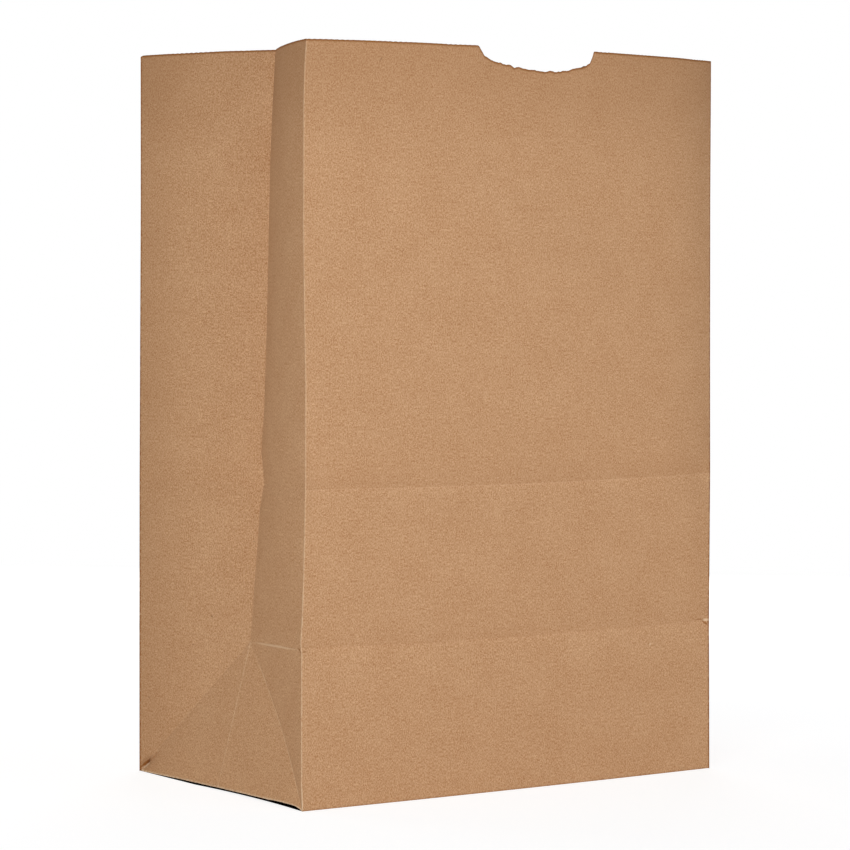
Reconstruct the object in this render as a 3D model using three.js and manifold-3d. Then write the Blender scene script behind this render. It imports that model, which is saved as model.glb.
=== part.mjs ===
import * as THREE from "three";
import { mergeVertices } from "three/addons/utils/BufferGeometryUtils.js";
import Module from "manifold-3d";

// A paper grocery bag that stands open by itself: one sheet of kraft paper, folded into a tube
// with a gusset in each side and closed at the bottom by glued flaps.
// Millimetres, +Z up. The front face looks towards -Y, and the origin is the middle of the base.

// Sheet
const paperThickness = 0.15;
const faceWidth = 304.8; // front and back, from fold to fold
const gussetDepth = 177.8; // each side, from fold to fold, measured on the flat paper
const bagHeight = 431.8;
const seamLap = 25.4; // glued lap that closes the sheet into a tube, on the back
const seamFromFold = 44; // the lap's near edge to the vertical fold beside it
const bottomLap = 25.4; // how far the two bottom flaps overlap

// How the bag stands open
const apexIn = 22; // gusset's middle crease, pushed in where the bottom triangle ends
const softFoldIn = 30; // the same crease at the height of the soft fold
const mouthIn = 41; // the same crease at the mouth
const mouthBow = 21; // the front and back belly out by this much at the mouth
const softFoldDent = 0.8; // valley left by the edge of the flat-folded bottom
const softFoldReach = 12; // how far the valley spreads up and down
const sideEdgeLift = 2; // the bottom edge of each side stands off the floor in the middle
const flapRamp = 38; // a side flap comes down from that edge over this length

// Top edge
const thumbCutWidth = 87;
const thumbCutDepth = 13.3;
const toothPitch = 3.2;
const toothDepth = 0.5;

// Steps of the loft
const faceSteps = 16;
const gussetSteps = 4; // in each half of a gusset, and up the bottom triangle
const upperSteps = 6;
const thumbCutSteps = 28;
const rampSteps = 5;
const flapSteps = 9; // across a side flap
const seamSteps = 2; // across the glued lap

const halfWidth = faceWidth / 2;
const halfGusset = gussetDepth / 2;
const softFoldHeight = gussetDepth; // the folded-up bottom lies flat on the face up to here
const apexTilt = Math.asin(apexIn / halfGusset);
const apexHeight = halfGusset * Math.cos(apexTilt);
const flapLength = halfGusset + bottomLap / 2;
const edgeTrim = 4 * toothDepth; // paper above the teeth, cut away
const barStop = 2 * toothDepth; // the bars that cut the teeth share the corners with this to spare
const seamFace = 1.5 * paperThickness; // outside of the lap, from the middle of the paper under it
const glueDepth = paperThickness / 5; // glued layers are let into each other by this much
const flapRest = 2.5 * paperThickness - glueDepth; // middle of a side flap, on two layers
const foldInset = 2 * paperThickness; // a folded layer stays this far inside the one that covers it
const cutterReach = 10; // a cutter runs this far past what it cuts

const mix = THREE.MathUtils.lerp;
const fall = (from, to, value) => 1 - THREE.MathUtils.smoothstep(value, from, to);

// Bow of the front and back faces: flat at the base, growing with the square of the height.
function bowAt(height) {
  return mouthBow * (height / bagHeight) ** 2;
}

// A bowed face keeps its paper, so each of its vertical folds comes in a little. The length of a
// shallow arch is its chord plus 8/3 of its rise squared over the chord.
function foldInAt(height) {
  return (4 * bowAt(height) ** 2) / (3 * faceWidth);
}

// How far the gusset's middle crease is pushed in above the bottom triangle.
function creaseInAt(height) {
  if (height < softFoldHeight) {
    return mix(apexIn, softFoldIn, (height - halfGusset) / (softFoldHeight - halfGusset));
  }
  return mix(softFoldIn, mouthIn, (height - softFoldHeight) / (bagHeight - softFoldHeight));
}

// The leaning triangle lowers the middle crease; the drop is taken up again towards the mouth.
function creaseDropAt(height) {
  return (halfGusset - apexHeight) * (1 - (height - halfGusset) / (bagHeight - halfGusset));
}

// Half the distance between the front and back folds. Each half of the gusset keeps its width.
function halfDepthAt(height) {
  if (height < halfGusset) return mix(halfGusset, halfDepthAt(halfGusset), height / halfGusset);
  const inward = creaseInAt(height) - foldInAt(height);
  return Math.sqrt(halfGusset ** 2 - inward ** 2 - creaseDropAt(height) ** 2);
}

// The front right vertical fold.
function foldPoint(height) {
  return new THREE.Vector3(halfWidth - foldInAt(height), -halfDepthAt(height), height);
}

// Valley of the soft fold, fading out at the vertical folds.
function dentAt(fromFold, height) {
  const near = Math.max(0, 1 - Math.abs(height - softFoldHeight) / softFoldReach);
  return softFoldDent * near * Math.min(1, fromFold / softFoldReach);
}

// The bottom edge of a side arches off the floor between its two corners.
function liftAt(along) {
  return sideEdgeLift * Math.cos((Math.PI * along) / gussetDepth);
}

// Middle of the paper on the front face: along runs from the left fold to the right one.
function facePoint(along, height) {
  const fold = foldPoint(height);
  const share = along / halfWidth;
  const belly = bowAt(height) * (1 - share ** 2);
  const dent = dentAt(halfWidth - Math.abs(along), height);
  return new THREE.Vector3(fold.x * share, fold.y - belly + dent, height);
}

// Middle of the paper on the right gusset: along runs from the front fold to the back one.
// Below the apex it is a leaning triangle on the base edge and a flat facet beside each fold.
function gussetPoint(along, height) {
  const fromFold = halfGusset - Math.abs(along);
  const toBack = along > 0 ? -1 : 1;
  if (height < halfGusset && fromFold >= height) {
    const lift = fromFold > 0 ? liftAt(along) * (1 - height / fromFold) : 0;
    const x = halfWidth - height * Math.sin(apexTilt);
    return new THREE.Vector3(x, along, height * Math.cos(apexTilt) + lift);
  }
  if (height < halfGusset) {
    const corner = new THREE.Vector3(halfWidth, -halfGusset, 0);
    const up = foldPoint(halfGusset).sub(corner).multiplyScalar((height - fromFold) / halfGusset);
    const apex = new THREE.Vector3(halfWidth - apexIn, 0, apexHeight);
    const across = apex.sub(corner).multiplyScalar(fromFold / halfGusset);
    return corner.add(up).add(across).multiply(new THREE.Vector3(1, toBack, 1));
  }
  const fold = foldPoint(height);
  const creaseX = halfWidth - creaseInAt(height);
  const crease = new THREE.Vector3(creaseX, 0, height - creaseDropAt(height));
  const point = fold.lerp(crease, fromFold / halfGusset);
  point.x -= dentAt(fromFold, height);
  return point.multiply(new THREE.Vector3(1, toBack, 1));
}

// Stations once round the tube, seen from above against the clock. The back face and the left
// gusset are the front face and the right gusset turned half round.
function tubeStations() {
  const stations = [];
  for (const turned of [false, true]) {
    for (let i = 0; i < faceSteps; i += 1) {
      stations.push({ at: facePoint, along: mix(-halfWidth, halfWidth, i / faceSteps), turned });
    }
    for (let i = 0; i < 2 * gussetSteps; i += 1) {
      const along = mix(-halfGusset, halfGusset, i / (2 * gussetSteps));
      stations.push({ at: gussetPoint, along, turned });
    }
  }
  return stations;
}

function stationPoint(station, height) {
  const point = station.at(station.along, height);
  if (station.turned) point.multiply(new THREE.Vector3(-1, -1, 1));
  return point;
}

// Rows of the loft: up the bottom triangle, over the soft fold, and on to the uncut top.
function rowHeights() {
  const rows = [];
  for (let i = 0; i <= gussetSteps; i += 1) rows.push((halfGusset * i) / gussetSteps);
  rows.push(softFoldHeight - softFoldReach, softFoldHeight);
  for (let i = 0; i < upperSteps; i += 1) {
    rows.push(mix(softFoldHeight + softFoldReach, bagHeight - edgeTrim, i / (upperSteps - 1)));
  }
  rows.push(bagHeight + edgeTrim);
  return rows;
}

// Level direction square to the wall at one station, as long as a mitre there has to be.
function mitreAt(before, here, after) {
  const sideways = (a, b) => new THREE.Vector3(b.y - a.y, a.x - b.x, 0).normalize();
  const first = before ? sideways(before, here) : sideways(here, after);
  const second = after ? sideways(here, after) : first;
  const mitre = first.clone().add(second).normalize();
  return mitre.divideScalar(mitre.dot(first));
}

// A closed solid between two grids of points, outer[row][column] and inner[row][column].
// With wraps, the last column joins the first. tips(row, column) turns a cell's diagonal.
function sheetSolid(outer, inner, wraps, tips = () => false) {
  const rows = outer.length;
  const columns = outer[0].length;
  const cells = wraps ? columns : columns - 1;
  const points = [...outer.flat(), ...inner.flat()];
  const faces = [];
  const quad = (a, b, c, d, tipped) => {
    if (tipped) faces.push(a, b, d, b, c, d);
    else faces.push(a, b, c, a, c, d);
  };
  const out = (row, column) => row * columns + (column % columns);
  const inside = (row, column) => rows * columns + out(row, column);
  for (let r = 0; r < rows - 1; r += 1) {
    for (let c = 0; c < cells; c += 1) {
      const tipped = tips(r, c);
      quad(out(r, c), out(r, c + 1), out(r + 1, c + 1), out(r + 1, c), tipped);
      quad(inside(r, c + 1), inside(r, c), inside(r + 1, c), inside(r + 1, c + 1), !tipped);
    }
  }
  for (let c = 0; c < cells; c += 1) {
    quad(inside(0, c), inside(0, c + 1), out(0, c + 1), out(0, c), false);
    quad(out(rows - 1, c), out(rows - 1, c + 1), inside(rows - 1, c + 1), inside(rows - 1, c), false);
  }
  if (!wraps) {
    const last = columns - 1;
    for (let r = 0; r < rows - 1; r += 1) {
      quad(inside(r, 0), out(r, 0), out(r + 1, 0), inside(r + 1, 0), false);
      quad(out(r, last), inside(r, last), inside(r + 1, last), out(r + 1, last), false);
    }
  }
  const geometry = new THREE.BufferGeometry().setFromPoints(points);
  geometry.setIndex(faces);
  return geometry;
}

// The tube of the bag. A cell's diagonal follows the slanting creases of the bottom triangles.
function tube() {
  const stations = tubeStations();
  const outer = [];
  const inner = [];
  for (const height of rowHeights()) {
    const middle = stations.map((station) => stationPoint(station, height));
    const count = middle.length;
    const mitres = middle.map((point, i) =>
      mitreAt(middle[(i + count - 1) % count], point, middle[(i + 1) % count]),
    );
    outer.push(middle.map((p, i) => p.clone().addScaledVector(mitres[i], paperThickness / 2)));
    inner.push(middle.map((p, i) => p.clone().addScaledVector(mitres[i], -paperThickness / 2)));
  }
  const towardsBack = (row, column) => {
    const station = stations[column % stations.length];
    return station.at === gussetPoint && station.along >= 0;
  };
  return sheetSolid(outer, inner, true, towardsBack);
}

// The glued lap: a second layer up the outside of the back face.
function seam() {
  const outer = [];
  const inner = [];
  const start = -halfWidth + seamFromFold;
  for (const height of rowHeights()) {
    const middle = [];
    for (let i = 0; i <= seamSteps; i += 1) {
      const along = start + (seamLap * i) / seamSteps;
      middle.push(stationPoint({ at: facePoint, along, turned: true }, height));
    }
    const mitres = middle.map((point, i) => mitreAt(middle[i - 1], point, middle[i + 1]));
    outer.push(middle.map((p, i) => p.clone().addScaledVector(mitres[i], seamFace)));
    inner.push(middle);
  }
  return sheetSolid(outer, inner, false);
}

// A flat layer of paper: an outline drawn in plan, lying at the given height.
function layer(outline, height, thickness) {
  const geometry = new THREE.ExtrudeGeometry(new THREE.Shape(outline), {
    depth: thickness,
    bevelEnabled: false,
  });
  return geometry.translate(0, 0, height);
}

// Outline of a bottom flap: it narrows at 45 degrees from the two corners of the base.
function flapOutline(from, to, inset = 0) {
  return [
    new THREE.Vector2(-halfWidth + from + inset, -halfGusset + from),
    new THREE.Vector2(halfWidth - from - inset, -halfGusset + from),
    new THREE.Vector2(halfWidth - to - inset, -halfGusset + to),
    new THREE.Vector2(-halfWidth + to + inset, -halfGusset + to),
  ];
}

// The back flap is outermost and lies on the floor.
function backFlap() {
  return layer(flapOutline(0, flapLength), 0, paperThickness).rotateZ(Math.PI);
}

// The front flap lies on the floor up to the back flap's edge, then steps up and is glued on it.
function frontFlap() {
  const step = flapLength - bottomLap - foldInset;
  const lower = layer(flapOutline(0, step), 0, paperThickness);
  const lap = flapOutline(step - foldInset, flapLength, foldInset);
  return [lower, layer(lap, paperThickness - glueDepth, paperThickness + glueDepth)];
}

// Where a side flap turns into a front or back flap, the paper doubles into a triangle that is
// hidden between them.
function cornerFold(mirrorX, mirrorY) {
  const reach = flapLength - foldInset;
  const outline = [
    new THREE.Vector2(-halfWidth + foldInset, -halfGusset),
    new THREE.Vector2(-halfWidth + reach, -halfGusset),
    new THREE.Vector2(-halfWidth + reach, -halfGusset + reach - foldInset),
  ].map((point) => new THREE.Vector2(point.x * mirrorX, point.y * mirrorY));
  return layer(outline, paperThickness - glueDepth, paperThickness + glueDepth);
}

// A side flap, folded in first and so innermost: it starts just above the arched bottom edge of
// the gusset and comes down on to the other flaps.
function sideFlap(turned) {
  const upper = [];
  const lower = [];
  const turn = turned ? -1 : 1;
  const runs = [flapRest * Math.tan(apexTilt)]; // in the middle of the leaning gusset's paper
  for (let i = 1; i <= rampSteps; i += 1) runs.push((flapRamp * i) / rampSteps);
  runs.push(flapLength);
  for (const run of runs) {
    const rows = { upper: [], lower: [] };
    for (let i = 0; i <= flapSteps; i += 1) {
      const along = mix(-halfGusset, halfGusset, i / flapSteps);
      const z = flapRest + liftAt(along) * fall(0, flapRamp, run);
      const x = -halfWidth + run;
      rows.upper.push(new THREE.Vector3(turn * x, turn * along, z + paperThickness / 2));
      rows.lower.push(new THREE.Vector3(turn * x, turn * along, z - paperThickness / 2));
    }
    upper.push(rows.upper);
    lower.push(rows.lower);
  }
  return sheetSolid(lower, upper, false);
}

// Half-oval cut in the front face for a thumb.
function thumbCutter() {
  const oval = new THREE.Shape();
  oval.absellipse(0, 0, thumbCutWidth / 2, thumbCutDepth, Math.PI, 2 * Math.PI);
  oval.lineTo(thumbCutWidth / 2, cutterReach);
  oval.lineTo(-thumbCutWidth / 2, cutterReach);
  const depth = halfGusset + mouthBow + cutterReach;
  const geometry = new THREE.ExtrudeGeometry(oval, {
    depth,
    bevelEnabled: false,
    curveSegments: thumbCutSteps,
  });
  return geometry.rotateX(Math.PI / 2).translate(0, 0, bagHeight);
}

// A bar whose lower edge is a row of teeth; it takes off the paper above the serrated edge.
function toothedBar(length, depth, paperLength) {
  const teeth = Math.max(1, Math.round(paperLength / toothPitch));
  const pitch = length / teeth;
  const outline = [new THREE.Vector2(-length / 2, 0)];
  for (let i = 0; i < teeth; i += 1) {
    const left = -length / 2 + i * pitch;
    outline.push(new THREE.Vector2(left + pitch / 2, -toothDepth));
    outline.push(new THREE.Vector2(left + pitch, 0));
  }
  outline.push(new THREE.Vector2(length / 2, 2 * edgeTrim));
  outline.push(new THREE.Vector2(-length / 2, 2 * edgeTrim));
  const geometry = new THREE.ExtrudeGeometry(new THREE.Shape(outline), {
    depth,
    bevelEnabled: false,
  });
  return geometry.rotateX(Math.PI / 2).translate(0, 0, bagHeight);
}

// Cutters for the serrated edge: one bar over each face and one across each gusset.
function edgeCutters() {
  const foldDepth = halfDepthAt(bagHeight);
  const faceBar = toothedBar(faceWidth + 2 * cutterReach, mouthBow + cutterReach, faceWidth);
  const gussetBar = toothedBar(2 * foldDepth - barStop, mouthIn + cutterReach, gussetDepth);
  const front = faceBar.clone().translate(0, -foldDepth + barStop, 0);
  const right = gussetBar.rotateZ(Math.PI / 2).translate(halfWidth - mouthIn - toothPitch, 0, 0);
  return [front, front.clone().rotateZ(Math.PI), right, right.clone().rotateZ(Math.PI)];
}

const wasm = await Module();
wasm.setup();

function toSolid(geometry) {
  const bare = new THREE.BufferGeometry();
  bare.setAttribute("position", geometry.getAttribute("position"));
  bare.setIndex(geometry.getIndex());
  const merged = mergeVertices(bare, 1e-5);
  const vertProperties = Float32Array.from(merged.getAttribute("position").array);
  const triVerts = Uint32Array.from(merged.getIndex().array);
  return new wasm.Manifold(new wasm.Mesh({ numProp: 3, vertProperties, triVerts }));
}

function toGeometry(solid) {
  const mesh = solid.getMesh();
  const geometry = new THREE.BufferGeometry();
  geometry.setAttribute("position", new THREE.BufferAttribute(mesh.vertProperties, 3));
  geometry.setIndex(new THREE.BufferAttribute(mesh.triVerts, 1));
  geometry.computeVertexNormals();
  return geometry;
}

function paperBag() {
  const layers = [seam(), backFlap(), ...frontFlap(), sideFlap(false), sideFlap(true)];
  for (const mirrorX of [-1, 1]) {
    for (const mirrorY of [-1, 1]) layers.push(cornerFold(mirrorX, mirrorY));
  }
  let bag = toSolid(tube());
  for (const paper of layers) bag = bag.add(toSolid(paper));
  for (const cutter of [thumbCutter(), ...edgeCutters()]) bag = bag.subtract(toSolid(cutter));
  return toGeometry(bag);
}

const kraft = new THREE.MeshStandardMaterial({ color: 0xb9916a, roughness: 0.9, metalness: 0 });
const bagMesh = new THREE.Mesh(paperBag(), kraft);
bagMesh.name = "paper_bag";

const part = new THREE.Group();
part.add(bagMesh);

export default part;
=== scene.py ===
import math
import bpy
import numpy as np
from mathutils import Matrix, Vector


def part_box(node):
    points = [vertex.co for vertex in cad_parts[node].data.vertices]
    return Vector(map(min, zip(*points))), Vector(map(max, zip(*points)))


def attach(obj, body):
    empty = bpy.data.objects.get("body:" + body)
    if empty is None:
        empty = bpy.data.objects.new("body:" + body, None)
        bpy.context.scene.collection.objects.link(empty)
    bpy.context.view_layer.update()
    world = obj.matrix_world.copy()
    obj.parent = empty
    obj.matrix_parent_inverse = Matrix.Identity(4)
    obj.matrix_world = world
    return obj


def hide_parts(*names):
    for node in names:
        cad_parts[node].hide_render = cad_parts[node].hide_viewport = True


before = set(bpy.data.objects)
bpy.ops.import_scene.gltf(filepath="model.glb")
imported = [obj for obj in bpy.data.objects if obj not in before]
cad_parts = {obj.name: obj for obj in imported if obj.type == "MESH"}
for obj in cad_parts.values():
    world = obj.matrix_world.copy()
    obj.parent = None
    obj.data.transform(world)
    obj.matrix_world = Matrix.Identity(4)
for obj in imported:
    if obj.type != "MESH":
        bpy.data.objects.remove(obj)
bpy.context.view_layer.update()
low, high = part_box("paper_bag")
mm = 0.001
print("frame loaded, the bag is %.1f mm high" % (high.z / mm))

# The bag is one sheet of kraft paper. Everywhere below, s runs round the folded tube from the
# front left fold, against the clock seen from above, and t runs up the paper from the base.
sheet = {
    "paper": 0.15 * mm,
    "gusset": 177.8 * mm,  # flat width of each side
    "lap": 25.4 * mm,  # the bottom flaps overlap by this, and so does the seam
    "columnStep": 3.2 * mm,
    "besideFold": [0.4 * mm, 1.2 * mm],  # extra columns that round each upright fold
    "besideCrease": [0.5 * mm, 1.6 * mm, 4 * mm],  # extra rows beside each level crease
    "besideBase": [0.5 * mm, 2 * mm],  # extra rows of the flaps beside the base edge
    "rowStep": 7 * mm,
    "upperRowStep": 9 * mm,  # above the soft fold
    "rimRows": [0, 0.35 * mm, 0.9 * mm, 2 * mm],  # rows under the cut edge, with fine columns
    "rimStart": 6 * mm,  # the wide columns end this far under the edge
    "rimParts": 4,  # fine columns to each wide one
    "rimReach": 60 * mm,  # the rows under the rim take over the thumb cut from here up
    "flapRows": 8,
    "flapFade": 38 * mm,  # a flap follows its lifted base edge less and less over this
    "flapStep": {"front": 2 * mm, "side": 1.5 * mm},  # length of the step up on to another layer
    "cornerSteps": 7,
    "cornerInset": 1.5 * mm,  # the doubled corners keep this far inside the base
}
paper = sheet["paper"]
face = high.x - low.x - paper
gusset = sheet["gusset"]
halfGusset = gusset / 2
height = high.z
flap = halfGusset + sheet["lap"] / 2
girth = 2 * (face + gusset)
tiny = 1e-9

foldPlace = {
    "frontLeft": 0.0, "frontRight": face, "backRight": face + gusset, "backLeft": 2 * face + gusset}

# The four walls round the tube: their ends, their way out of the bag, the upright folds at
# their two sides, a gusset's middle crease, and the seed of the ripples.
walls = {
    "front": {"start": 0.0, "end": face, "out": (0, -1), "folds": ("frontLeft", "frontRight"), "seed": 4},
    "right": {"start": face, "end": face + gusset, "out": (1, 0), "folds": ("frontRight", "backRight"),
              "crease": "rightCrease", "seed": 7},
    "back": {"start": face + gusset, "end": 2 * face + gusset, "out": (0, 1),
             "folds": ("backRight", "backLeft"), "seed": 11},
    "left": {"start": 2 * face + gusset, "end": girth, "out": (-1, 0), "folds": ("backLeft", "frontLeft"),
             "crease": "leftCrease", "seed": 17},
}

# How the real bag stands: each upright fold leans away from its corner of the square base.
# The leans are x, y, z in mm at the heights "at" on the paper, read from the photo's corners.
# A sway is a height and a shift along the picture, in mm, which bends the fold's line.
stance = {
    "at": [0, 88.9, 177.8, 431.8],
    "across": (0.806, -0.592),
    "frontLeft": {
        "corner": (-1, -1),
        "lean": [(0, -0.8, 0), (1.0, 2.7, 2.8), (4.2, 5.6, 1.5), (4.1, 8.5, -0.6)],
        "sway": [(0, 0), (14, -0.5), (60, -0.3), (85, -0.1), (92, -0.7), (99, -0.2), (130, 0.2),
                 (240, 0.2), (275, -0.5), (325, -1.2), (395, -1.2), (415, -0.8), (431.8, 0.2)]},
    "frontRight": {
        "corner": (1, -1),
        "lean": [(-1.8, 0, 0), (-1.4, 2.7, 1.7), (-0.1, 5.0, 3.9), (-2.2, 7.2, 2.6)],
        "sway": [(0, 0), (177, 0), (250, -0.2), (345, -0.3), (431.8, 0)]},
    "backRight": {
        "corner": (1, 1),
        "lean": [(-1.0, 0, 0), (-1.0, -2.0, 1.0), (-4.0, -5.0, 2.5), (-8.0, -9.5, 2.0)],
        "sway": [(0, 0)]},
    "backLeft": {
        "corner": (-1, 1),
        "lean": [(2.0, 0, 0), (-0.7, -3.2, -0.2), (-2.4, -5.0, -0.1), (-7.0, -10.5, -1.8)],
        "sway": [(0, 0), (177, 0), (345, 0.3), (431.8, 0)]},
    "leftCrease": {
        "corner": (-1, 0),
        "lean": [(0, 0, 0), (23.1, -0.1, -3.5), (31.2, 1.5, 0.2), (38.4, 1.7, -0.3)],
        "sway": [(0, 0), (270, 0), (300, -0.3), (335, -0.7), (365, -1.0), (395, -0.8), (431.8, 0)]},
    "rightCrease": {
        "corner": (1, 0),
        "lean": [(0, 0, 0), (-21.5, 0, -3.4), (-29.0, -1, 1.5), (-38.0, -2, 2.0)],
        "sway": [(0, 0)]},
}

# Relief of the walls. A reach or a fade is the distance over which a form dies away.
shape = {
    "faceBow": 21 * mm,  # front and back belly out by this at the mouth
    "baseBow": 2 * mm,  # and by this at the base
    "endTurn": 5 * mm,  # near its right fold each face turns back, by this much
    "endReach": 45 * mm,
    "endHeights": (60 * mm, 220 * mm),  # nothing below the first, all of it above the second
    "gussetBow": {"frontLeft": 3 * mm, "frontRight": 3 * mm, "backRight": 5.5 * mm, "backLeft": 5.5 * mm},
    "gussetBowReach": 70 * mm,  # above the apex
    "softFold": gusset,  # height of the valley left by the flat-folded bottom
    "softDent": 1.8 * mm,
    "softReach": (12 * mm, 16.8 * mm),  # below and above
    "softRidge": 0.9 * mm,  # a low ridge above it
    "ridgeAbove": 22 * mm,
    "ridgeWidth": 11 * mm,
    "softSag": 1.2 * mm,  # the valley runs lower in the middle of a face
    "softSagReach": 45 * mm,
    "levelDent": 0.9 * mm,  # valley of the level crease at half that height
    "levelReach": (14 * mm, 5 * mm),
    "levelSag": 1.8 * mm,
    "levelSagReach": 30 * mm,
    "sagFromBase": 60 * mm,
    "faceFade": 10 * mm,  # the valleys come in over this distance from the folds of a face
    "gussetFade": 8 * mm,  # and from those of a gusset
    "nick": 1.0 * mm,  # the level crease is pushed in where it meets the right fold
    "nickAt": 2 * mm,  # deepest this far from it
    "nickReach": (18 * mm, 5 * mm),  # along the face, and up and down
    "ripple": 0.35 * mm,  # slow unevenness of the standing paper
    "rippleLengths": (61, 83, 112, 150, 190, 240),  # mm
    "rippleFade": {"fold": 30 * mm, "base": 40 * mm, "gusset": 25 * mm},
    # At the back left corner of the base the paper tucks in below a slanting line: depth, the
    # line's points (from the fold, up), how far below it the paper is back in line, and where
    # along the base the tuck starts and ends.
    "tuck": 2.0 * mm,
    "tuckLine": [(1 * mm, 2.7 * mm), (10 * mm, 9.4 * mm), (16 * mm, 12.6 * mm)],
    "tuckReach": 6 * mm,
    "tuckStart": (0, 3 * mm),
    "tuckEnd": (10 * mm, 17 * mm),
}

# The slanting creases of the four bottom corners bend towards the upright fold by this much.
slantBend = {"frontLeft": 5 * mm, "frontRight": 4 * mm, "backRight": 3 * mm, "backLeft": 0 * mm}

# The bottom edge of each side stands off the floor: share of the way to the next fold, lift in mm.
baseLift = {
    "left": [(0, 0), (0.12, 0.45), (0.25, 1.0), (0.49, 1.55), (0.7, 1.9), (0.81, 2.0), (0.84, 2.3),
             (0.9, 2.4), (0.957, 2.2), (0.985, 1.2), (1, 0)],
    "right": [(0, 0), (0.15, 0.9), (0.4, 1.9), (0.65, 1.7), (0.85, 0.9), (1, 0)],
}

# The cut edge, all in mm.
rim = {
    "toothPitch": 3.2,
    "toothDepth": 0.32,
    "toothStep": 11,  # the teeth get blunter and sharper again over this
    "leastTooth": 0.25,  # share of its depth that the bluntest one keeps
    "wander": 0.12,  # slow waviness of the cut
    "wanderStep": 37,
    "tear": 0.12,  # fine raggedness of the thumb cut, in two sizes
    "tearSteps": (0.9, 2.3),
    "tornFrom": (1, 4),  # the cut goes over from teeth to torn between these depths
    # The cut isn't quite straight: place along the tube, height above the nominal edge.
    "level": [(0, 0), (12, 0.1), (55, 0.1), (74, -0.05), (87, -0.2), (105, -0.3), (194, -0.45),
              (214, -0.55), (252, -0.55), (282, -0.45), (293, -0.15), (304, 0), (784.6, 0),
              (787.1, -0.8), (789.6, 0), (1000, 0)],
    # The thumb cut: place from the middle of the front, depth below the top edge.
    "thumbCut": [
        (-46.0, 0), (-45.4, 0.6), (-44.5, 1.7), (-43.2, 3.4), (-41.4, 5.6), (-39.2, 6.7),
        (-36.9, 7.8), (-34.0, 8.7), (-31.2, 9.4), (-29.8, 9.2), (-28.3, 10.0), (-25.5, 10.3),
        (-22.7, 10.4), (-21.2, 11.2), (-19.7, 11.9), (-18.3, 11.4), (-16.9, 11.3), (-12.5, 12.2),
        (-8.1, 12.6), (-5.2, 12.6), (-3.7, 13.0), (2.2, 13.4), (3.6, 13.2), (6.5, 12.5), (9.6, 13.2),
        (12.5, 12.8), (14.0, 12.9), (15.5, 12.3), (20.0, 11.9), (21.5, 11.4), (22.9, 10.8),
        (26.0, 10.2), (30.6, 9.7), (32.9, 9.0), (34.6, 7.7), (36.2, 7.0), (36.6, 5.9), (37.2, 4.9),
        (37.7, 3.5), (37.8, 1.2), (38.4, 0.4), (39.2, 0),
    ],
}


def smooth(start, end, x):
    # 0 before start, 1 after end, with a level tangent at both.
    u = np.clip((x - start) / (end - start), 0, 1)
    return u * u * (3 - 2 * u)


def wander(x, step, seed):
    # Smooth random curve between -1 and 1: random knots every step, joined by cosine arcs.
    knots = np.random.default_rng(seed).uniform(-1, 1, int(2 * girth / mm / step) + 8)
    at = x / step
    cell = np.floor(at).astype(int)
    u = (1 - np.cos(np.pi * (at - cell))) / 2
    return knots[cell] * (1 - u) + knots[cell + 1] * u


def foldLine(name, t):
    # An upright fold: its corner of the base, plus its lean and its sway, each joined by
    # straight lines between the given heights.
    fold = stance[name]
    at, lean, sway = (np.array(values) * mm for values in (stance["at"], fold["lean"], fold["sway"]))
    shift = np.interp(t, sway[:, 0], sway[:, 1])
    x = fold["corner"][0] * face / 2 + np.interp(t, at, lean[:, 0]) + shift * stance["across"][0]
    y = fold["corner"][1] * halfGusset + np.interp(t, at, lean[:, 1]) + shift * stance["across"][1]
    z = paper / 2 + t + np.interp(t, at, lean[:, 2])
    return np.stack([x, y, z], -1)


def sideways(a, b):
    # Level direction out of the bag, square to the line from fold a to the next fold b.
    d = b - a
    out = np.stack([d[..., 1], -d[..., 0], np.zeros(d.shape[:-1])], -1)
    return out / np.linalg.norm(out, axis=-1, keepdims=True)


def bellyAt(t):
    # Bow of a face: a little at the base, growing with the square of the height.
    return shape["baseBow"] + (shape["faceBow"] - shape["baseBow"]) * (t / height) ** 2


def turnedEnd(x):
    # How a face turns back near its right fold, x from it: a parabola up to 1, then straight
    # down to 0 at the far fold.
    reach = shape["endReach"]
    return np.where(x < reach, 1 - (1 - x / reach) ** 2, (face - x) / (face - reach))


def valley(distance, below, above):
    # 1 on a crease, straight down to 0 at its reach below and above.
    reach = np.where(distance < 0, below, above)
    return np.clip(1 - np.abs(distance) / reach, 0, None)


def softRelief(t):
    # Relief across the soft fold: a straight-sided valley with a low, bell-shaped ridge above it.
    d = t - shape["softFold"]
    ridge = np.exp(-(((d - shape["ridgeAbove"]) / shape["ridgeWidth"]) ** 2))
    return shape["softRidge"] * ridge - shape["softDent"] * valley(d, *shape["softReach"])


def ripple(s, t, seed):
    # Slow unevenness of the standing paper: six waves of chosen length added up.
    draw = np.random.default_rng(seed)
    total = np.zeros(np.shape(s))
    for length in shape["rippleLengths"]:
        turn, phase = draw.uniform(0.2, 1.2), draw.uniform(0, 2 * np.pi)
        total += np.sin(2 * np.pi * (s * np.cos(turn) + t * np.sin(turn)) / (length * mm) + phase)
    return shape["ripple"] * total / 2.5


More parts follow.
